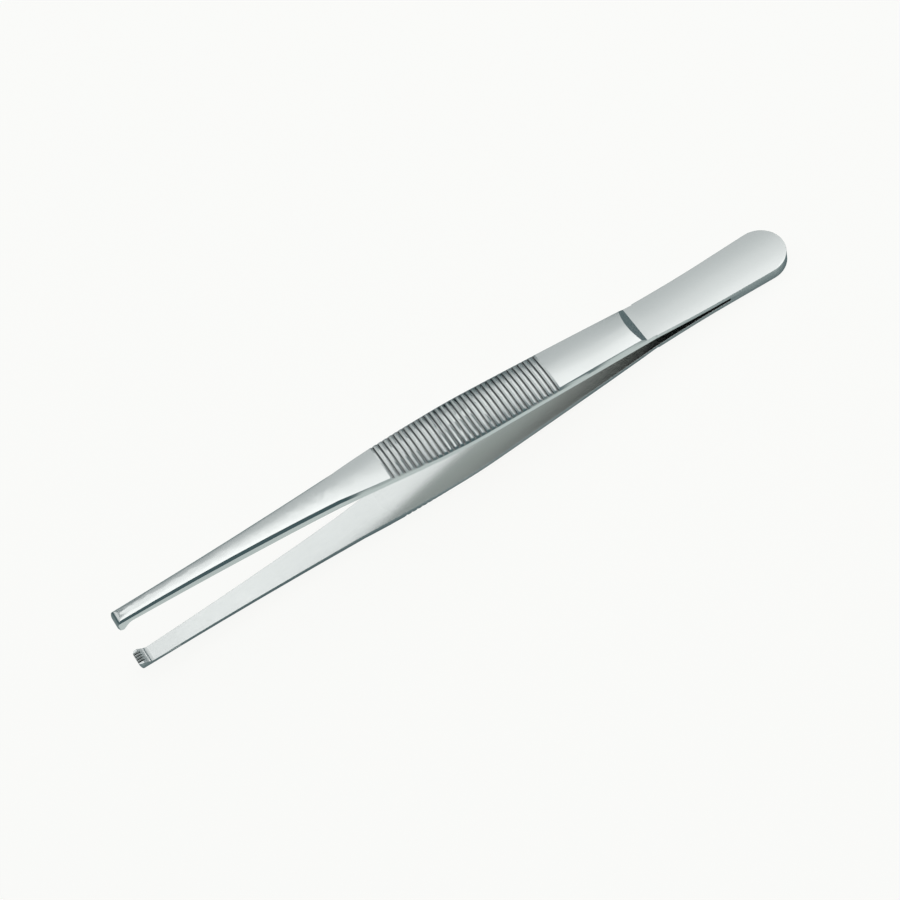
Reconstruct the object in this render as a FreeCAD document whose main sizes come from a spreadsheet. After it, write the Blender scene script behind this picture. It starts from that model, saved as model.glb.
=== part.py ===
"""Thumb forceps with turned-in toothed tips, 145 mm long.

Two mirror-image spring blades are welded to a thin spacer at the butt and spread
towards the tips. The instrument lies on the outer face of its lower blade.

Blade frame: X runs from the tips to the butt, Z points outwards from the plane
midway between the blades, Y runs across the blade.
"""
import FreeCAD, Part
import math
import os
import Sketcher

SIZES = [
    # portions of the length, counted from the tips
    ("waist_run", 20.0, "tips to the slim waist"),
    ("neck_run", 26.0, "waist to the bend, where the blade starts to flare"),
    ("flare_run", 10.0, "bend to the first ribs"),
    ("shoulder_run", 10.0, "first ribs to the full grip"),
    ("belly_run", 10.0, "full grip to its widest place"),
    ("taper_run", 22.0, "widest place to the narrowing rear of the grip"),
    ("step_run", 13.73, "narrowing rear to the foot of the step"),
    ("spring_run", 12.27, "foot of the step to the root bend"),
    ("head_run", 21.0, "root bend to the butt"),
    # widths
    ("tip_width", 3.2, "blade at the tips"),
    ("waist_width", 4.2, "blade at the waist"),
    ("neck_width", 6.55, "blade at the bend"),
    ("flare_width", 8.3, "blade at the first ribs"),
    ("shoulder_width", 9.9, "blade at the full grip"),
    ("belly_width", 10.5, "blade at its widest"),
    ("taper_width", 9.5, "blade at the rear of the grip"),
    ("step_width", 8.8, "blade at the step"),
    ("head_width", 10.25, "rounded head"),
    # thicknesses, on the centre line
    ("tip_thick", 1.36, "blade at the tips"),
    ("waist_thick", 1.85, "blade at the waist"),
    ("grip_thick", 2.0, "blade from the bend to the rear of the grip"),
    ("step_thick", 1.78, "blade in front of the step"),
    ("spring_thick", 0.87, "flat spring behind the step"),
    # set of the blades
    ("opening", 16.0, "between the inner faces at the tips"),
    ("bend_gap", 12.8, "between the inner faces at the bend"),
    ("bend_radius", 500.0, "inner face at the bend"),
    ("root_radius", 150.0, "inner face at the root bend"),
    # section: side, sloped shoulder, crowned outer face
    ("side_tip", 0.8, "height of the side at the tips"),
    ("side_front", 1.12, "height of the side from the waist to the bend"),
    ("side_grip", 0.94, "height of the side along the grip"),
    ("side_step", 0.8, "height of the side at the step"),
    ("lean_tip", 0.06, "side at the tips, in from the upright"),
    ("lean_front", 0.17, "side at the waist, in from the upright"),
    ("lean_neck", 0.08, "side at the bend, in from the upright"),
    ("lean_grip", 0.06, "side along the grip, in from the upright"),
    ("lean_step", 0.13, "side at the step, in from the upright"),
    ("shoulder_tip", 0.36, "width of the shoulder at the tips"),
    ("shoulder_front", 0.46, "width of the shoulder from the waist to the bend"),
    ("shoulder_flare", 0.2, "width of the shoulder at the first ribs"),
    ("shoulder_grip", 0.34, "width of the shoulder along the grip"),
    ("shoulder_step", 0.32, "width of the shoulder at the step"),
    ("crown_tip", 3.5, "crown radius at the tips"),
    ("crown_waist", 4.5, "crown radius at the waist"),
    ("crown_neck", 11.0, "crown radius at the bend"),
    ("crown_grip", 22.0, "crown radius along the grip"),
    # step between the crowned grip and the flat spring
    ("ramp_slope", 0.64, "rise of the step over its run"),
    # turned-in tip
    ("hook_depth", 1.14, "tip below the inner face"),
    ("hook_ridge", 1.0, "thickness of the ridge that carries the teeth"),
    ("hook_root", 2.45, "turned-in tip, where it leaves the inner face"),
    ("hook_hollow", 1.9, "radius of the hollow behind the tip"),
    ("nose_radius", 1.8, "rounded outer end of the tip"),
    ("tip_corner", 0.7, "corners of the tip, seen from above"),
    ("tip_spread", 0.5, "how far the outline of the tip widens past its corners"),
    ("tooth_pitch", 0.62, "teeth, across the tip"),
    ("tooth_height", 0.4, "teeth"),
    ("tooth_edge", 0.08, "flat tip of a tooth"),
    ("tooth_gaps_upper", 5, "notches in the upper tip"),
    ("tooth_gaps_lower", 4, "notches in the lower tip"),
    # ribs across the grip
    ("rib_count", 32, "grooves"),
    ("rib_pitch", 1.132, "grooves, along the grip"),
    ("rib_width", 1.03, "mouth of a groove"),
    ("rib_slope", 0.13, "depth of the sloped mouth of a groove"),
    ("rib_slot", 0.38, "steep part of a groove"),
    ("rib_root", 0.12, "floor of a groove"),
    ("rib_depth", 0.44, "groove"),
    ("rib_plain", 19.86, "plain grip between the last groove and the step"),
    # small flats of the lower blade, at the bend and the butt
    ("rest_flat", 0.04, "depth of the flats that the instrument lies on"),
    # spacer welded between the heads
    ("spacer_thick", 0.8, "spacer"),
    ("spacer_length", 15.0, "spacer, back from the butt"),
    # how far a cutting outline passes beyond the metal
    ("overcut", 2.0, "cutting outlines"),
]

doc = FreeCAD.newDocument("thumb_forceps")
sheet = doc.addObject("Spreadsheet::Sheet", "Sizes")
for row, (alias, number, note) in enumerate(SIZES, start=1):
    sheet.set("A%d" % row, note)
    sheet.set("B%d" % row, str(number))
    sheet.setAlias("B%d" % row, alias)
doc.recompute()


def cell(alias):
    return "Sizes." + alias


def total(*aliases):
    return "(" + " + ".join(cell(alias) for alias in aliases) + ")"


def number(expression):
    return float(sheet.evalExpression(expression))


# places along the blade
WAIST = cell("waist_run")
BEND = total("waist_run", "neck_run")
FLARE = total("waist_run", "neck_run", "flare_run")
FULL = total("waist_run", "neck_run", "flare_run", "shoulder_run")
BELLY = total("waist_run", "neck_run", "flare_run", "shoulder_run", "belly_run")
TAPER = "(%s + %s)" % (BELLY, cell("taper_run"))
STEP = "(%s + %s)" % (TAPER, cell("step_run"))
ROOT = "(%s + %s)" % (STEP, cell("spring_run"))
BUTT = "(%s + %s)" % (ROOT, cell("head_run"))

# the forged front reaches just behind the foot of the step
FORGED = "(%s + %s)" % (STEP, cell("overcut"))

MOUTH_Z = "(%s / 2)" % cell("opening")
BEND_Z = "(%s / 2)" % cell("bend_gap")
SEAT_Z = "(%s / 2)" % cell("spacer_thick")


def front_face(x):
    """Height of the inner face in front of the bend."""
    return "(%s + (%s - %s) * %s / %s)" % (MOUTH_Z, BEND_Z, MOUTH_Z, x, BEND)


def rear_face(x):
    """Height of the inner face from the bend to the root."""
    return "(%s + (%s - %s) * (%s - %s) / (%s - %s))" % (
        BEND_Z, SEAT_Z, BEND_Z, x, BEND, ROOT, BEND)


def plane(body, role):
    for feature in body.Origin.OriginFeatures:
        if feature.Role == role:
            return feature


def new_sketch(body, name, role, offset=None):
    sketch = body.newObject("Sketcher::SketchObject", name)
    sketch.AttachmentSupport = [(plane(body, role), "")]
    sketch.MapMode = "FlatFace"
    if offset:
        sketch.setExpression("AttachmentOffset.Base.z", offset)
    return sketch


def relate(sketch, kind, *items):
    return sketch.addConstraint(Sketcher.Constraint(kind, *items))


def size(sketch, kind, items, expression):
    index = relate(sketch, kind, *items, number(expression))
    sketch.setExpression("Constraints[%d]" % index, expression)


def fix(sketch, curve, end, x, y):
    """Hold one point of a sketch at a place given by two expressions."""
    size(sketch, "DistanceX", (-1, 1, curve, end), x)
    size(sketch, "DistanceY", (-1, 1, curve, end), y)


def outline(sketch, corners):
    """Draw a closed outline: corners are (x, y) or (x, y, bend radius)."""
    count = len(corners)
    points = [FreeCAD.Vector(number(c[0]), number(c[1]), 0) for c in corners]
    radii = [number(c[2]) if len(c) > 2 else 0 for c in corners]

    def reach(index):
        before = (points[index - 1] - points[index]).normalize()
        after = (points[(index + 1) % count] - points[index]).normalize()
        half = before.getAngle(after) / 2
        return before, after, radii[index] / math.tan(half)

    lines = []
    for index in range(count):
        following = (index + 1) % count
        start = points[index] + reach(index)[1] * reach(index)[2]
        stop = points[following] + reach(following)[0] * reach(following)[2]
        lines.append(sketch.addGeometry(Part.LineSegment(start, stop), False))
    for index, corner in enumerate(corners):
        before, after, length = reach(index)
        incoming = lines[index - 1]
        outgoing = lines[index]
        if len(corner) == 2:
            relate(sketch, "Coincident", incoming, 2, outgoing, 1)
            fix(sketch, outgoing, 1, corner[0], corner[1])
            continue
        vertex = sketch.addGeometry(Part.Point(points[index]), True)
        fix(sketch, vertex, 1, corner[0], corner[1])
        relate(sketch, "PointOnObject", vertex, 1, incoming)
        relate(sketch, "PointOnObject", vertex, 1, outgoing)
        first = points[index] + before * length
        last = points[index] + after * length
        middle = (before + after).normalize()
        centre = points[index] + middle * math.hypot(length, radii[index])
        left = before.cross(after).z < 0
        ends = (first, last) if left else (last, first)
        angles = [math.atan2(p.y - centre.y, p.x - centre.x) for p in ends]
        circle = Part.Circle(centre, FreeCAD.Vector(0, 0, 1), radii[index])
        arc = sketch.addGeometry(Part.ArcOfCircle(circle, angles[0], angles[1]), False)
        relate(sketch, "Tangent", incoming, 2, arc, 1 if left else 2)
        relate(sketch, "Tangent", outgoing, 1, arc, 2 if left else 1)
        size(sketch, "Radius", (arc,), corner[2])


def sketch_line(sketch, ends):
    """Add a reference line between two fixed points."""
    spots = [FreeCAD.Vector(number(x), number(y), 0) for x, y in ends]
    line = sketch.addGeometry(Part.LineSegment(spots[0], spots[1]), True)
    for end, (x, y) in enumerate(ends, start=1):
        fix(sketch, line, end, x, y)
    return line


def section(body, name, place):
    """One cross-section of the forging, drawn down to the depth of the hook."""
    x, width, side, lean, shoulder, crown, thick = place
    face = front_face(x) if number(x) < number(BEND) else rear_face(x)
    sketch = new_sketch(body, name, "YZ_Plane", x)
    low = "(%s - %s)" % (face, cell("hook_depth"))
    tall = "(%s + %s)" % (side, cell("hook_depth"))
    wide = "(%s + 2 * %s * %s / %s)" % (width, lean, cell("hook_depth"), side)
    slim = "(%s - 2 * %s)" % (width, lean)
    crest = "(%s - 2 * %s)" % (slim, shoulder)
    brow = "(%s + %s - %s + sqrt(%s ^ 2 - %s ^ 2 / 4))" % (
        face, thick, crown, crown, crest)
    half = number(wide) / 2
    brink = number(slim) / 2
    top = number(crest) / 2
    foot = number(low)
    shelf = foot + number(tall)
    ledge = number(brow)
    spots = [(-half, foot), (half, foot), (brink, shelf), (top, ledge), (-top, ledge),
             (-brink, shelf)]
    spots = [FreeCAD.Vector(y, z, 0) for y, z in spots]
    radius = number(crown)
    centre = FreeCAD.Vector(0, ledge - math.sqrt(radius ** 2 - top ** 2), 0)
    lean = math.asin(top / radius)
    circle = Part.Circle(centre, FreeCAD.Vector(0, 0, 1), radius)
    curves = [Part.LineSegment(spots[i], spots[i + 1]) for i in range(3)]
    curves.append(Part.ArcOfCircle(circle, math.pi / 2 - lean, math.pi / 2 + lean))
    curves.append(Part.LineSegment(spots[4], spots[5]))
    curves.append(Part.LineSegment(spots[5], spots[0]))
    sketch.addGeometry(curves, False)
    for index in range(6):
        relate(sketch, "Coincident", index, 2, (index + 1) % 6, 1)
    relate(sketch, "Symmetric", 0, 1, 0, 2, -2)
    relate(sketch, "Symmetric", 2, 1, 5, 1, -2)
    relate(sketch, "Symmetric", 3, 1, 3, 2, -2)
    size(sketch, "DistanceX", (0, 1, 0, 2), wide)
    size(sketch, "DistanceX", (5, 1, 1, 2), slim)
    size(sketch, "DistanceX", (3, 2, 3, 1), crest)
    size(sketch, "DistanceY", (-1, 1, 0, 1), low)
    size(sketch, "DistanceY", (1, 1, 1, 2), tall)
    size(sketch, "DistanceY", (-1, 1, 3, 1), brow)
    size(sketch, "Radius", (3,), crown)
    return sketch


def head_outline(sketch, front):
    """Sides that run from the step to the rounded butt, closed at the front."""
    radius = "(%s / 2)" % cell("head_width")
    hub = "(%s - %s)" % (BUTT, radius)
    corner = FreeCAD.Vector(number(FORGED), number(cell("step_width")) / 2, 0)
    centre = FreeCAD.Vector(number(hub), 0, 0)
    arm = corner - centre
    turn = math.atan2(arm.y, arm.x) - math.acos(number(radius) / arm.Length)
    touch = centre + FreeCAD.Vector(math.cos(turn), math.sin(turn), 0) * number(radius)
    share = (number(front) - corner.x) / (touch.x - corner.x)
    start = corner + (touch - corner) * share
    below = FreeCAD.Vector(start.x, -start.y, 0)
    under = FreeCAD.Vector(touch.x, -touch.y, 0)
    circle = Part.Circle(centre, FreeCAD.Vector(0, 0, 1), number(radius))
    sketch.addGeometry([Part.LineSegment(start, touch),
                        Part.ArcOfCircle(circle, -turn, turn),
                        Part.LineSegment(below, under),
                        Part.LineSegment(start, below)], False)
    vertex = sketch.addGeometry(Part.Point(corner), True)
    fix(sketch, vertex, 1, FORGED, "(%s / 2)" % cell("step_width"))
    relate(sketch, "PointOnObject", vertex, 1, 0)
    relate(sketch, "Tangent", 0, 2, 1, 2)
    relate(sketch, "Tangent", 2, 2, 1, 1)
    relate(sketch, "Coincident", 3, 1, 0, 1)
    relate(sketch, "Coincident", 3, 2, 2, 1)
    relate(sketch, "Symmetric", 0, 1, 2, 1, -1)
    relate(sketch, "PointOnObject", 1, 3, -1)
    size(sketch, "DistanceX", (-1, 1, 1, 3), hub)
    size(sketch, "DistanceX", (-1, 1, 0, 1), front)
    size(sketch, "Radius", (1,), radius)


def cut_across(body, name, sketch):
    """Cut a side outline right through the width of the blade."""
    pocket = body.newObject("PartDesign::Pocket", name)
    pocket.Profile = sketch
    pocket.Type = "ThroughAll"
    pocket.SideType = "Symmetric"
    return pocket


def make_blade(name, gaps):
    body = doc.addObject("PartDesign::Body", name)
    body.Label = name

    # crowned forging from the tips to the step
    grip = [cell("side_grip"), cell("lean_grip"), cell("shoulder_grip"), cell("crown_grip"),
            cell("grip_thick")]
    tip = ["0", cell("tip_width"), cell("side_tip"), cell("lean_tip"), cell("shoulder_tip"),
           cell("crown_tip"), cell("tip_thick")]
    waist = [WAIST, cell("waist_width"), cell("side_front"), cell("lean_front"),
             cell("shoulder_front"), cell("crown_waist"), cell("waist_thick")]
    neck = [BEND, cell("neck_width"), cell("side_front"), cell("lean_neck"),
            cell("shoulder_front"), cell("crown_neck"), cell("grip_thick")]
    slope = [cell("side_grip"), cell("lean_grip"), cell("shoulder_flare"),
             cell("crown_grip"), cell("grip_thick")]
    flare = [FLARE, cell("flare_width"), *slope]
    full = [FULL, cell("shoulder_width"), *grip]
    belly = [BELLY, cell("belly_width"), *grip]
    taper = [TAPER, cell("taper_width"), *grip]
    step = [FORGED, cell("step_width"), cell("side_step"), cell("lean_step"),
            cell("shoulder_step"), cell("crown_grip"), cell("step_thick")]
    places = [tip, waist, neck, flare, full, belly, taper, step]
    sketches = [section(body, "%s_section_%d" % (name, index), place)
                for index, place in enumerate(places)]
    for first, last in [(0, 2), (2, 5), (5, 7)]:
        forging = body.newObject("PartDesign::AdditiveLoft", "%s_forging_%d" % (name, first))
        forging.Profile = sketches[first]
        forging.Sections = sketches[first + 1:last + 1]

    # flat spring and rounded head
    plan = new_sketch(body, name + "_head_plan", "XY_Plane")
    head_outline(plan, FORGED)
    head = body.newObject("PartDesign::Pad", name + "_head")
    head.Profile = plan
    head.setExpression("Length", "%s + %s" % (rear_face(FORGED), cell("step_thick")))

    # inner face: turned-in tip, bend, root bend and the seat of the spacer
    ridge = cell("hook_ridge")
    tip_z = "(%s - %s)" % (MOUTH_Z, cell("hook_depth"))
    deep = "(0 - %s)" % cell("overcut")
    past = "(%s + %s)" % (BUTT, cell("overcut"))
    inner = new_sketch(body, name + "_inner_face", "XZ_Plane")
    outline(inner, [
        (ridge, deep),
        (past, deep),
        (past, SEAT_Z),
        (ROOT, SEAT_Z, cell("root_radius")),
        (BEND, BEND_Z, cell("bend_radius")),
        (cell("hook_root"), front_face(cell("hook_root")), cell("hook_hollow")),
        (ridge, tip_z),
    ])
    cut_across(body, name + "_inner", inner)

    # flat outer face of the spring, and the sloped step in front of it
    lift = cell("spring_thick")
    high = "(%s + %s + %s)" % (rear_face(STEP), cell("step_thick"), cell("overcut"))
    foot = "(%s + %s)" % (rear_face(STEP), lift)
    brow = "(%s - (%s - %s) / %s)" % (STEP, high, foot, cell("ramp_slope"))
    flat = new_sketch(body, name + "_outer_face", "XZ_Plane")
    outline(flat, [
        (STEP, foot),
        (ROOT, "(%s + %s)" % (SEAT_Z, lift), "(%s - %s)" % (cell("root_radius"), lift)),
        (past, "(%s + %s)" % (SEAT_Z, lift)),
        (past, high),
        (brow, high),
    ])
    cut_across(body, name + "_outer", flat)

    # rounded outer corner of the tip
    crest = "(%s + %s)" % (MOUTH_Z, cell("tip_thick"))
    above = "(%s + %s)" % (crest, cell("overcut"))
    ahead = "(0 - %s)" % cell("overcut")
    nose = new_sketch(body, name + "_nose_side", "XZ_Plane")
    outline(nose, [
        ("0", "(%s - %s)" % (crest, cell("overcut"))),
        ("0", crest, cell("nose_radius")),
        (cell("overcut"), crest),
        (cell("overcut"), above),
        (ahead, above),
        (ahead, "(%s - %s)" % (crest, cell("overcut"))),
    ])
    cut_across(body, name + "_nose", nose)

    # rounded corners of the tip, seen from above
    half = "(%s / 2)" % cell("tip_width")
    flank = "(%s + %s)" % (half, cell("tip_spread"))
    clear = "(%s + %s)" % (flank, cell("overcut"))
    back = "(%s + %s)" % (cell("hook_root"), cell("overcut"))
    corners = new_sketch(body, name + "_tip_plan", "XY_Plane")
    outline(corners, [
        (ahead, clear),
        (ahead, "(0 - %s)" % clear),
        (back, "(0 - %s)" % clear),
        (back, "(0 - %s)" % flank),
        ("0", "(0 - %s)" % half, cell("tip_corner")),
        ("0", half, cell("tip_corner")),
        (back, flank),
        (back, clear),
    ])
    cut_across(body, name + "_tip_corners", corners)

    # notches between the teeth of the tip
    pitch = cell("tooth_pitch")
    side = "(%s * (%s - 1) / 2)" % (pitch, cell(gaps))
    mouth = "(%s - %s)" % (pitch, cell("tooth_edge"))
    below = "(%s - %s)" % (tip_z, cell("tooth_height"))
    notch = new_sketch(body, name + "_notch_shape", "YZ_Plane")
    outline(notch, [
        ("(0 - %s - %s)" % (side, mouth), below),
        ("(%s - %s)" % (mouth, side), below),
        ("(0 - %s)" % side, "(%s + %s)" % (tip_z, cell("tooth_height"))),
    ])
    groove = body.newObject("PartDesign::Pocket", name + "_notch")
    groove.Profile = notch
    groove.Reversed = True
    groove.setExpression("Length", cell("hook_root") + " * 2")
    doc.recompute()
    row = body.newObject("PartDesign::LinearPattern", name + "_teeth")
    row.Originals = [groove]
    row.Direction = (notch, ["H_Axis"])
    row.Mode = "Spacing"
    row.setExpression("Offset", pitch)
    row.setExpression("Occurrences", cell(gaps))
    body.Tip = row
    doc.recompute()

    # ribs: ring grooves about the axis of the crowned grip
    last = "(%s - %s)" % (STEP, cell("rib_plain"))
    ring = new_sketch(body, name + "_rib_shape", "XZ_Plane")
    run = "((%s - %s) / (%s - %s))" % (BEND_Z, SEAT_Z, ROOT, BEND)
    top = "(%s + %s)" % (rear_face(last), cell("grip_thick"))
    floor = "(%s / 2)" % cell("rib_root")
    slot = "(%s / 2)" % cell("rib_slot")
    mouth = "(%s - %s)" % (cell("rib_width"), slot)
    depth = "(0 - %s)" % cell("rib_depth")
    bank = "(0 - %s)" % cell("rib_slope")
    cut = [("(0 - %s)" % mouth, cell("rib_slope")), ("(0 - %s)" % slot, bank),
           ("(0 - %s)" % floor, depth), (floor, depth), (slot, bank), (mouth, cell("rib_slope"))]
    outline(ring, [("(%s + %s)" % (last, x), "(%s - %s * %s + %s)" % (top, x, run, z))
                   for x, z in cut])
    middle = "(%s - %s)" % (top, cell("crown_grip"))
    ends = [("(%s + 1)" % last, "(%s - %s)" % (middle, run)), (last, middle)]
    axis = sketch_line(ring, ends)
    cut = body.newObject("PartDesign::Groove", name + "_rib_groove")
    cut.Profile = ring
    cut.ReferenceAxis = (ring, ["Axis0"])
    cut.Angle = 360
    doc.recompute()
    ribs = body.newObject("PartDesign::LinearPattern", name + "_ribs")
    ribs.Originals = [cut]
    ribs.Direction = (ring, ["Axis0"])
    ribs.Mode = "Spacing"
    ribs.setExpression("Offset", cell("rib_pitch"))
    ribs.setExpression("Occurrences", cell("rib_count"))
    body.Tip = ribs
    doc.recompute()
    return body


def flatten_rest(body):
    """Take the crest off the bend and the edge off the butt, where the blade lies."""
    bend = "(%s + %s)" % (BEND_Z, cell("grip_thick"))
    butt = "(%s + %s)" % (SEAT_Z, cell("spring_thick"))
    past = "(%s + %s)" % (BUTT, cell("overcut"))
    outer = "(%s + (%s - %s) * (%%s - %s) / (%s - %s))" % (
        bend, butt, bend, BEND, BUTT, BEND)
    flats = new_sketch(body, "rest_flats", "XZ_Plane")
    outline(flats, [
        (WAIST, "(%s - %s)" % (outer % WAIST, cell("rest_flat"))),
        (past, "(%s - %s)" % (outer % past, cell("rest_flat"))),
        (past, "(%s + %s)" % (outer % past, cell("overcut"))),
        (WAIST, "(%s + %s)" % (outer % WAIST, cell("overcut"))),
    ])
    cut_across(body, "rest_flat_cut", flats)
    doc.recompute()


def rest(shapes):
    """Placement that lays the pieces down as they come to rest on their lower side."""
    weight = sum(shape.Volume for shape in shapes)
    centre = FreeCAD.Vector(0, 0, 0)
    points = []
    for shape in shapes:
        centre = centre + shape.CenterOfGravity * (shape.Volume / weight)
        points += [(p.x, p.z) for p in shape.tessellate(number(cell("rib_root")))[0]]
    hull = []
    for point in sorted(points):
        while len(hull) > 1 and turn(hull[-2], hull[-1], point) <= 0:
            hull.pop()
        hull.append(point)
    for first, second in zip(hull, hull[1:]):
        run = FreeCAD.Vector(second[0] - first[0], 0, second[1] - first[1])
        along = (centre - FreeCAD.Vector(first[0], 0, first[1])).dot(run)
        if run.x > abs(run.z) and 0 <= along <= run.dot(run):
            break
    lean = math.degrees(math.atan2(run.z, run.x))
    tilt = FreeCAD.Placement(FreeCAD.Vector(), FreeCAD.Rotation(FreeCAD.Vector(0, 1, 0), lean))
    box = FreeCAD.BoundBox()
    for shape in shapes:
        laid = shape.copy()
        laid.Placement = tilt.multiply(laid.Placement)
        box.add(laid.optimalBoundingBox())
    tilt.Base = FreeCAD.Vector(-box.Center.x, -box.Center.y, -box.ZMin)
    return tilt


def turn(a, b, c):
    return (b[0] - a[0]) * (c[1] - a[1]) - (b[1] - a[1]) * (c[0] - a[0])


upper = make_blade("upper_blade", "tooth_gaps_upper")
lower = make_blade("lower_blade", "tooth_gaps_lower")
flatten_rest(lower)

spacer = doc.addObject("PartDesign::Body", "butt_spacer")
spacer.Label = "butt_spacer"
plan = new_sketch(spacer, "spacer_plan", "XY_Plane")
head_outline(plan, "(%s - %s)" % (BUTT, cell("spacer_length")))
slab = spacer.newObject("PartDesign::Pad", "spacer_slab")
slab.Profile = plan
slab.SideType = "Symmetric"
slab.setExpression("Length", cell("spacer_thick"))
doc.recompute()

# the lower blade is the upper one turned over about the length
over = FreeCAD.Placement(FreeCAD.Vector(), FreeCAD.Rotation(FreeCAD.Vector(1, 0, 0), 180))
lower.Placement = over
doc.recompute()

pieces = [upper, lower, spacer]
laid = rest([piece.Shape for piece in pieces])
upper.Placement = laid
lower.Placement = laid.multiply(over)
spacer.Placement = laid
doc.recompute()

for item in doc.Objects:
    if "Invalid" in item.State or "Error" in item.State:
        raise RuntimeError("%s did not build: %s" % (item.Name, item.State))
for piece in pieces:
    if piece.Shape.isNull() or not piece.Shape.isValid() or len(piece.Shape.Solids) != 1:
        raise RuntimeError("%s has no sound solid" % piece.Label)

os.makedirs("parts", exist_ok=True)
for piece in pieces:
    box = piece.Shape.optimalBoundingBox()
    print(piece.Label, round(piece.Shape.Volume, 2), box)
    piece.Shape.exportStep("parts/%s.step" % piece.Label)
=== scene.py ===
"""Thumb forceps in satin stainless steel, lying on a pale table."""
import math

import bmesh
import bpy
from mathutils import Euler, Matrix, Vector


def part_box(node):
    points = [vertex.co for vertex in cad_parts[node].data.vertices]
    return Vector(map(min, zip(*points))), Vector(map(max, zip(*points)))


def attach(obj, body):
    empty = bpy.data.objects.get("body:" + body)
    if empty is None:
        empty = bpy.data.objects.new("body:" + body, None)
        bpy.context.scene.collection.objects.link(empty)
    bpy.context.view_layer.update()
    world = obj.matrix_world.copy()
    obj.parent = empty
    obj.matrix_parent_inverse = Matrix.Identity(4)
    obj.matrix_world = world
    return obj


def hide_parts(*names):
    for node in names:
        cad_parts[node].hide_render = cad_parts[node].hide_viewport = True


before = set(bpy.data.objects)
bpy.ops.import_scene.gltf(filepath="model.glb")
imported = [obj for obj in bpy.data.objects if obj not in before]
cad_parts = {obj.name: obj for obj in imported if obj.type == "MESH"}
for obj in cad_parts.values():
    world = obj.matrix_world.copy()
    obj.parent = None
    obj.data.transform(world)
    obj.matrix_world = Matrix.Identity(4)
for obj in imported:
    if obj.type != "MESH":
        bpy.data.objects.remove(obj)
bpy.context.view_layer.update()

bl_info = {
    "name": "Thumb forceps",
    "version": (1, 0, 0),
    "blender": (4, 5, 0),
    "location": "3D View > Sidebar > Forceps",
    "description": "Finishes the blades and the spacer of a thumb forceps and sets its table and light",
    "category": "Object",
}

MM = 0.001
MELT = 0.0001 * MM
CREASE = math.radians(20.5)
WALL_RISE = 0.25
WALL_CORNER = math.radians(50)
ROUNDING_STEPS = 3

# Sockets of the colour Mix node
MIX_FROM, MIX_TO, MIX_RESULT = 6, 7, 2

# Rays that tell how open a spot is, and how far they look on the steel and on the table, for the
# painted shade in the steel's grooves and gaps and the painted contact shadow in the table's reflection
SHADE_RAYS = 4
STEEL_SHADE_REACH = 0.8 * MM
TABLE_SHADOW_REACH = 5 * MM
CONTACT_SHADOW_POWER = 3.0

# Painted reflection of the table in the steel: white close in front, dim under the blades and far in
# front (places in Y)
FRONT_FULL, FRONT_GONE = -8 * MM, -3 * MM
FRONT_WHITE, UNDER_WHITE = 0.92, 0.2
FRONT_FADE, FRONT_DIM = -20 * MM, -60 * MM
FAR_WHITE = 0.15

# Painted reflection of the patch of table behind the grip that the lower blade shows: middle, squeeze
# in X, radii
PATCH_X, PATCH_Y, PATCH_SQUEEZE = 12 * MM, 3 * MM, 0.3
PATCH_FULL, PATCH_GONE = 9 * MM, 19 * MM
PATCH_START, PATCH_WHOLE = -1 * MM, 3 * MM
# Painted reflection: white of the table as the steel shows it
PAINTED_REFLECTION_WHITE = (0.87, 0.98, 0.97, 1)

# Share of the table's own glow that the camera sees: the rest is lit and takes the shadow
TABLE_GLOW = 0.93

# Softboxes whose edges lie along X: name, reach in X, edges as (y, z), brightness
LENGTHWISE_LAMPS = (
    ("overhead_softbox", (-0.1, 0.75), (-0.425, 0.8), (0.141, 0.8), 1.65),
    ("rear_softbox_front", (-0.1, 0.75), (0.141, 0.8), (0.36, 0.8), 1.35),
    ("rear_softbox_left", (-0.1, 0.05), (0.36, 0.8), (0.7, 0.8), 1.52),
    ("rear_softbox_middle", (0.05, 0.75), (0.36, 0.8), (0.56, 0.8), 1.02),
    ("rear_softbox_back", (0.05, 0.75), (0.56, 0.8), (0.7, 0.8), 0.76),
    ("back_reflector", (-0.1, 0.75), (0.7, 0.8), (0.92, 0.49), 0.68),
)

# Softboxes whose edges lie along Y: name, reach in Y, edges as (x, z), brightness
CROSSWISE_LAMPS = (
    ("left_softbox", (0.2, 0.85), (-0.2, 0.8), (-0.8, 0.4), 0.95),
    ("right_softbox", (0.2, 0.85), (0.74, 0.41), (0.95, 0.3), 1.6),
)

CAMERA_PLACE = (-0.046549, -0.264681, 0.443547)
CAMERA_TURN = (28.923, 12.951, -31.512)
SENSOR_WIDTH = 36


def linear(value):
    """Turn an sRGB hex colour into the linear colour that shaders take."""
    channels = [int(value[i:i + 2], 16) / 255 for i in (1, 3, 5)]
    return tuple(c / 12.92 if c <= 0.04045 else ((c + 0.055) / 1.055) ** 2.4 for c in channels)


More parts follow.
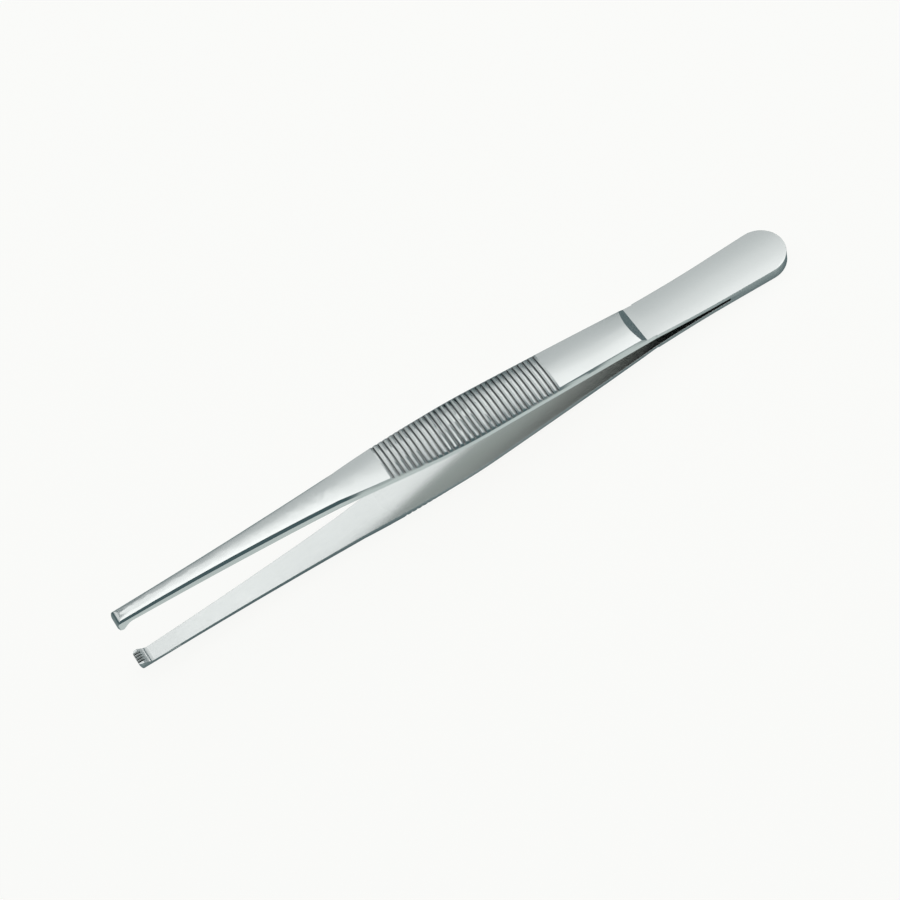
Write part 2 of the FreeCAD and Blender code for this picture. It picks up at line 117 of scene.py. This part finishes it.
class ForcepsSizes(bpy.types.PropertyGroup):
    rim: bpy.props.FloatProperty(
        name="Rim", description="Rounding of the outer rim of the spring and the head",
        default=0.3 * MM, min=0.02 * MM, unit="LENGTH")
    edge: bpy.props.FloatProperty(
        name="Edge", description="Rounding of the edges round the inner faces",
        default=0.2 * MM, min=0.02 * MM, unit="LENGTH")
    crown: bpy.props.FloatProperty(
        name="Crown", description="Radius of the faint crown of the upper head across its width",
        default=45 * MM, min=5 * MM, unit="LENGTH")
    crown_start: bpy.props.FloatProperty(
        name="Crown start", description="Place along the blade where the crown of the head sets in",
        default=30 * MM, unit="LENGTH")
    crown_full: bpy.props.FloatProperty(
        name="Crown full", description="Place along the blade from where the crown is full",
        default=45 * MM, unit="LENGTH")
    tip_reach: bpy.props.FloatProperty(
        name="Tip reach", description="Length of the toothed tip, whose edges stay crisp",
        default=3.4 * MM, min=0.5 * MM, unit="LENGTH")
    grind: bpy.props.FloatProperty(
        name="Grind spacing", description="Distance between the finest marks of the satin grind",
        default=0.12 * MM, min=0.02 * MM, unit="LENGTH")
    grind_length: bpy.props.FloatProperty(
        name="Grind length", description="Length of one mark of the satin grind",
        default=2.5 * MM, min=0.1 * MM, unit="LENGTH")
    table: bpy.props.FloatProperty(
        name="Table", description="Width of the pale table top", default=3.0, min=0.5,
        unit="LENGTH")
    lens: bpy.props.FloatProperty(
        name="Lens", description="Focal length of the camera in millimetres", default=110.0,
        min=10, unit="CAMERA")


class ForcepsFinishes(bpy.types.PropertyGroup):
    steel: bpy.props.StringProperty(
        name="Steel", description="Colour of the satin stainless steel", default="#C9C9C7")
    # Painted shade: the steel colour is darkened towards this deep in the grooves and the gaps
    painted_groove_shade: bpy.props.StringProperty(
        name="Groove", description="Colour of the steel deep in the grooves and the gaps",
        default="#3C4648")
    # Also the dim colour of the painted reflection of the table in the steel
    room: bpy.props.StringProperty(
        name="Room", description="Colour of the dim studio round the table, as the steel shows it",
        default="#556D72")
    table: bpy.props.StringProperty(
        name="Table", description="Colour of the table top", default="#FDFDFB")


def add_node(tree, kind, settings=(), links=()):
    """Add a node, set its attributes and sockets, and link what feeds its sockets."""
    node = tree.nodes.new(kind)
    for key, value in dict(settings).items():
        if isinstance(key, int) or key in node.inputs:
            node.inputs[key].default_value = value
        else:
            setattr(node, key, value)
    for socket, source in dict(links).items():
        tree.links.new(source, node.inputs[socket])
    return node


def new_material(name):
    material = bpy.data.materials.new(name)
    material.use_nodes = True
    material.node_tree.nodes.clear()
    return material, material.node_tree


def add_crown(tree, place, sizes):
    """Bend the light on the upper head as a faint crown across its width does."""
    axes = add_node(tree, "ShaderNodeSeparateXYZ", (), {0: place.outputs["Object"]})
    across = axes.outputs["Y"]
    square = add_node(tree, "ShaderNodeMath", {"operation": "MULTIPLY"}, {0: across, 1: across})
    part = add_node(tree, "ShaderNodeMapRange",
                    {"interpolation_type": "SMOOTHSTEP", "From Min": sizes.crown_start,
                     "From Max": sizes.crown_full, "To Min": 0.0, "To Max": -0.5 / sizes.crown},
                    {"Value": axes.outputs["X"]})
    height = add_node(tree, "ShaderNodeMath", {"operation": "MULTIPLY"},
                      {0: square.outputs["Value"], 1: part.outputs["Result"]})
    bump = add_node(tree, "ShaderNodeBump", {"Strength": 1.0, "Distance": 1.0},
                    {"Height": height.outputs["Value"]})
    return bump.outputs["Normal"]


def satin_steel(name, sizes, finishes, crowned=False):
    """Hardened stainless steel, ground to a satin along the length.

    The finish gives soft, drawn-out reflections; deep in the grooves and the gaps the colour is
    darkened as painted shade.
    """
    material, tree = new_material(name)
    place = add_node(tree, "ShaderNodeTexCoord")
    scale = (1 / sizes.grind_length, 1 / sizes.grind, 1 / sizes.grind)
    drawn = add_node(tree, "ShaderNodeMapping", {"Scale": scale},
                     {"Vector": place.outputs["Object"]})
    marks = add_node(tree, "ShaderNodeTexNoise", {"Scale": 1.0, "Detail": 3.0, "Roughness": 0.6},
                     {"Vector": drawn.outputs["Vector"]})
    cloud = add_node(tree, "ShaderNodeTexNoise", {"Scale": 1 / (9 * MM), "Detail": 2.0},
                     {"Vector": place.outputs["Object"]})
    uneven = add_node(tree, "ShaderNodeMath", {"operation": "MULTIPLY_ADD", 1: 0.35},
                      {0: cloud.outputs["Fac"], 2: marks.outputs["Fac"]})
    rough = add_node(tree, "ShaderNodeMapRange",
                     {"From Min": 0.4, "From Max": 1.0, "To Min": 0.19, "To Max": 0.26},
                     {"Value": uneven.outputs["Value"]})
    bump = add_node(tree, "ShaderNodeBump", {"Strength": 0.08, "Distance": 0.02 * MM},
                    {"Height": marks.outputs["Fac"]})
    if crowned:
        tree.links.new(add_crown(tree, place, sizes), bump.inputs["Normal"])
    # Painted shade: where the steel is hemmed in, its colour is mixed towards the darker groove colour
    painted_shade_ao = add_node(tree, "ShaderNodeAmbientOcclusion",
                        {"samples": SHADE_RAYS, "Distance": STEEL_SHADE_REACH})
    painted_shade_factor = add_node(tree, "ShaderNodeMapRange",
                    {"interpolation_type": "SMOOTHSTEP", "From Min": 0.4, "From Max": 0.8},
                    {"Value": painted_shade_ao.outputs["AO"]})
    colour = add_node(tree, "ShaderNodeMix",
                      {"data_type": "RGBA", MIX_FROM: (*linear(finishes.painted_groove_shade), 1),
                       MIX_TO: (*linear(finishes.steel), 1)},
                      {0: painted_shade_factor.outputs["Result"]})
    shader = add_node(tree, "ShaderNodeBsdfPrincipled", {"Metallic": 1.0},
                      {"Base Color": colour.outputs[MIX_RESULT],
                       "Roughness": rough.outputs["Result"], "Normal": bump.outputs["Normal"]})
    add_node(tree, "ShaderNodeOutputMaterial", (), {"Surface": shader.outputs["BSDF"]})
    return material


def table_top(name, finishes):
    """Matt white table: white with a faint shadow to the camera; in the steel a painted reflection,
    white close in front and in a patch behind the grip, dim room colour elsewhere, with painted contact
    shadow close by.
    """
    material, tree = new_material(name)
    colour = (*linear(finishes.table), 1)
    light = add_node(tree, "ShaderNodeLightPath")
    camera = light.outputs["Is Camera Ray"]
    # Reflected rays see only the glow, which carries the painted reflection
    glowing = add_node(tree, "ShaderNodeMath", {"operation": "MULTIPLY_ADD", 1: TABLE_GLOW},
                       {0: camera, 2: light.outputs["Is Glossy Ray"]})
    place = add_node(tree, "ShaderNodeTexCoord")
    axes = add_node(tree, "ShaderNodeSeparateXYZ", (), {0: place.outputs["Object"]})
    across = axes.outputs["Y"]

    front = add_node(tree, "ShaderNodeMapRange",
                     {"From Min": FRONT_FULL, "From Max": FRONT_GONE, "To Min": FRONT_WHITE,
                      "To Max": UNDER_WHITE},
                     {"Value": across})
    fade = add_node(tree, "ShaderNodeMapRange",
                    {"From Min": FRONT_DIM, "From Max": FRONT_FADE, "To Min": FAR_WHITE,
                     "To Max": 1},
                    {"Value": across})
    # Painted contact shadow: the table's reflection in the steel goes dark close to the forceps
    painted_shade_ao = add_node(tree, "ShaderNodeAmbientOcclusion",
                        {"samples": SHADE_RAYS, "Distance": TABLE_SHADOW_REACH})
    painted_contact_shadow = add_node(tree, "ShaderNodeMath", {"operation": "POWER", 1: CONTACT_SHADOW_POWER},
                       {0: painted_shade_ao.outputs["AO"]})
    front_faded = add_node(tree, "ShaderNodeMath", {"operation": "MULTIPLY"},
                           {0: front.outputs["Result"], 1: fade.outputs["Result"]})
    painted_front_reflection = add_node(tree, "ShaderNodeMath", {"operation": "MULTIPLY"},
                           {0: front_faded.outputs["Value"], 1: painted_contact_shadow.outputs["Value"]})

    # Painted reflection: a white patch of table behind the grip
    squeezed = add_node(tree, "ShaderNodeMapping",
                        {"Location": (-PATCH_SQUEEZE * PATCH_X, -PATCH_Y, 0),
                         "Scale": (PATCH_SQUEEZE, 1, 1)},
                        {"Vector": place.outputs["Object"]})
    reach = add_node(tree, "ShaderNodeVectorMath", {"operation": "LENGTH"},
                     {0: squeezed.outputs["Vector"]})
    patch = add_node(tree, "ShaderNodeMapRange",
                     {"interpolation_type": "SMOOTHSTEP", "From Min": PATCH_FULL,
                      "From Max": PATCH_GONE, "To Min": 1.0, "To Max": 0.0},
                     {"Value": reach.outputs["Value"]})
    behind = add_node(tree, "ShaderNodeMapRange",
                      {"From Min": PATCH_START, "From Max": PATCH_WHOLE}, {"Value": across})
    painted_patch_reflection = add_node(tree, "ShaderNodeMath", {"operation": "MULTIPLY"},
                          {0: patch.outputs["Result"], 1: behind.outputs["Result"]})

    white = add_node(tree, "ShaderNodeMath", {"operation": "MAXIMUM"},
                     {0: painted_front_reflection.outputs["Value"], 1: painted_patch_reflection.outputs["Value"]})
    # Painted reflection: the table in the steel, dim room colour except where painted white
    painted_reflection = add_node(tree, "ShaderNodeMix",
                        {"data_type": "RGBA", MIX_FROM: (*linear(finishes.room), 1),
                         MIX_TO: PAINTED_REFLECTION_WHITE},
                        {0: white.outputs["Value"]})
    seen = add_node(tree, "ShaderNodeMix", {"data_type": "RGBA", MIX_TO: colour},
                    {0: camera, MIX_FROM: painted_reflection.outputs[MIX_RESULT]})
    matt = add_node(tree, "ShaderNodeBsdfDiffuse", {"Color": colour})
    glow = add_node(tree, "ShaderNodeEmission", {"Strength": 1.0},
                    {"Color": seen.outputs[MIX_RESULT]})
    mix = add_node(tree, "ShaderNodeMixShader", (),
                   {0: glowing.outputs["Value"], 1: matt.outputs["BSDF"],
                    2: glow.outputs["Emission"]})
    add_node(tree, "ShaderNodeOutputMaterial", (), {"Surface": mix.outputs["Shader"]})
    return material


def rounded_copy(node, name, material, rounding):
    """Copy a node's mesh, keep its creases sharp and round the edges that each rule chooses."""
    shape = bmesh.new()
    shape.from_mesh(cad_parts[node].data)
    bmesh.ops.remove_doubles(shape, verts=shape.verts, dist=MELT)
    for edge in shape.edges:
        edge.smooth = edge.calc_face_angle() < CREASE
    for face in shape.faces:
        face.smooth = True
    for chosen, radius in rounding:
        edges = [edge for edge in shape.edges if chosen(edge)]
        bevel = bmesh.ops.bevel(shape, geom=edges, offset=radius, offset_type="OFFSET",
                                segments=ROUNDING_STEPS, profile=0.5, affect="EDGES",
                                clamp_overlap=True, material=-1)
        soft = {edge for face in bevel["faces"] for edge in face.edges}
        for edge in soft:
            edge.smooth = True
    mesh = bpy.data.meshes.new(name)
    shape.to_mesh(mesh)
    shape.free()
    mesh.materials.clear()
    mesh.materials.append(material)
    piece = bpy.data.objects.new(name, mesh)
    bpy.context.scene.collection.objects.link(piece)
    flat = piece.modifiers.new("flat faces stay flat", "WEIGHTED_NORMAL")
    flat.keep_sharp = True
    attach(piece, "root")
    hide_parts(node)
    return piece


def wall_edge(edge):
    """True for an edge between an upright wall and a face that lies flat."""
    walls = [abs(face.normal.z) < WALL_RISE for face in edge.link_faces]
    return walls.count(True) == 1 and edge.calc_face_angle() > WALL_CORNER


def studio_lamp(name, across, start, end, brightness):
    """Softbox whose edges lie along X: across is its reach in X, start and end are (y, z)."""
    middle = sum(across) / 2
    near = Vector((middle, *start))
    far = Vector((middle, *end))
    return softbox(name, near, far, across[1] - across[0], Vector((1, 0, 0)), brightness)


def side_lamp(name, across, start, end, brightness):
    """Softbox whose edges lie along Y: across is its reach in Y, start and end are (x, z)."""
    middle = sum(across) / 2
    near = Vector((start[0], middle, start[1]))
    far = Vector((end[0], middle, end[1]))
    return softbox(name, near, far, across[1] - across[0], Vector((0, 1, 0)), brightness)


def softbox(name, near, far, width, along, brightness):
    """Lamp between two points, as wide as given, that faces the table with an even brightness."""
    lamp = bpy.data.lights.new(name, "AREA")
    lamp.shape = "RECTANGLE"
    lamp.size = width
    lamp.size_y = (far - near).length
    lamp.energy = math.pi * lamp.size * lamp.size_y * brightness
    holder = bpy.data.objects.new(name, lamp)
    bpy.context.scene.collection.objects.link(holder)
    up = (far - near).normalized()
    back = along.cross(up)
    if back.z < 0:
        along = -along
        back = -back
    turn = Matrix((along, up, back)).transposed()
    holder.matrix_world = Matrix.Translation((near + far) / 2) @ turn.to_4x4()
    return holder


class OBJECT_OT_forceps_blades(bpy.types.Operator):
    """Finish the upper and the lower blade in satin steel"""
    bl_idname = "object.forceps_blades"
    bl_label = "Blades"

    def execute(self, context):
        scene = context.scene
        sizes = scene.forceps_sizes
        for node, outward in (("upper_blade", 1), ("lower_blade", -1)):
            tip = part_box(node)[0][0] + sizes.tip_reach
            steel = satin_steel("satin_stainless_" + node, sizes, scene.forceps_finishes,
                                crowned=outward > 0)

            def outer_rim(edge):
                flat = max(edge.link_faces, key=lambda face: abs(face.normal.z))
                return wall_edge(edge) and flat.normal.z * outward > 0 and edge.verts[0].co.x > tip

            def inner_edge(edge):
                flat = max(edge.link_faces, key=lambda face: abs(face.normal.z))
                return wall_edge(edge) and flat.normal.z * outward < 0 and edge.verts[0].co.x > tip

            rounding = ((outer_rim, sizes.rim), (inner_edge, sizes.edge))
            rounded_copy(node, "satin_" + node, steel, rounding)
        return {"FINISHED"}


class OBJECT_OT_forceps_spacer(bpy.types.Operator):
    """Finish the spacer welded between the heads"""
    bl_idname = "object.forceps_spacer"
    bl_label = "Spacer"

    def execute(self, context):
        scene = context.scene
        steel = satin_steel("satin_stainless_spacer", scene.forceps_sizes, scene.forceps_finishes)
        rounding = ((wall_edge, scene.forceps_sizes.edge),)
        rounded_copy("butt_spacer", "satin_butt_spacer", steel, rounding)
        return {"FINISHED"}


class OBJECT_OT_forceps_stage(bpy.types.Operator):
    """Set the table, the light and the camera"""
    bl_idname = "object.forceps_stage"
    bl_label = "Table, light and camera"

    def execute(self, context):
        scene = context.scene
        sizes = scene.forceps_sizes
        bpy.ops.mesh.primitive_grid_add(x_subdivisions=2, y_subdivisions=2, size=sizes.table,
                                        location=(0, 0, 0))
        table = context.active_object
        table.name = "table_top"
        table.data.materials.append(table_top("matt_white_table", scene.forceps_finishes))

        world = bpy.data.worlds.new("studio_room")
        world.use_nodes = True
        background = world.node_tree.nodes["Background"]
        background.inputs["Color"].default_value = (*linear(scene.forceps_finishes.room), 1)
        background.inputs["Strength"].default_value = 1.0
        scene.world = world

        for lamp in LENGTHWISE_LAMPS:
            studio_lamp(*lamp)
        for lamp in CROSSWISE_LAMPS:
            side_lamp(*lamp)

        lens = bpy.data.cameras.new("photo_camera")
        lens.lens = sizes.lens
        lens.sensor_width = SENSOR_WIDTH
        lens.sensor_fit = "HORIZONTAL"
        camera = bpy.data.objects.new("photo_camera", lens)
        scene.collection.objects.link(camera)
        camera.location = CAMERA_PLACE
        camera.rotation_euler = Euler([math.radians(angle) for angle in CAMERA_TURN])
        scene.camera = camera
        scene.view_settings.view_transform = "Standard"
        return {"FINISHED"}


class VIEW3D_PT_forceps(bpy.types.Panel):
    """Sizes, finishes and steps of the thumb forceps"""
    bl_idname = "VIEW3D_PT_forceps"
    bl_label = "Thumb forceps"
    bl_space_type = "VIEW_3D"
    bl_region_type = "UI"
    bl_category = "Forceps"

    def draw(self, context):
        layout = self.layout
        for group in (context.scene.forceps_sizes, context.scene.forceps_finishes):
            for key in group.__annotations__:
                layout.prop(group, key)
        for operator in OPERATORS:
            layout.operator(operator.bl_idname)


OPERATORS = (OBJECT_OT_forceps_blades, OBJECT_OT_forceps_spacer, OBJECT_OT_forceps_stage)
CLASSES = (ForcepsSizes, ForcepsFinishes, *OPERATORS, VIEW3D_PT_forceps)


def register():
    for item in CLASSES:
        bpy.utils.register_class(item)
    bpy.types.Scene.forceps_sizes = bpy.props.PointerProperty(type=ForcepsSizes)
    bpy.types.Scene.forceps_finishes = bpy.props.PointerProperty(type=ForcepsFinishes)


def unregister():
    del bpy.types.Scene.forceps_finishes
    del bpy.types.Scene.forceps_sizes
    for item in reversed(CLASSES):
        bpy.utils.unregister_class(item)


def main():
    register()
    bpy.ops.object.forceps_stage()
    bpy.ops.object.forceps_blades()
    bpy.ops.object.forceps_spacer()


if __name__ == "__main__":
    main()
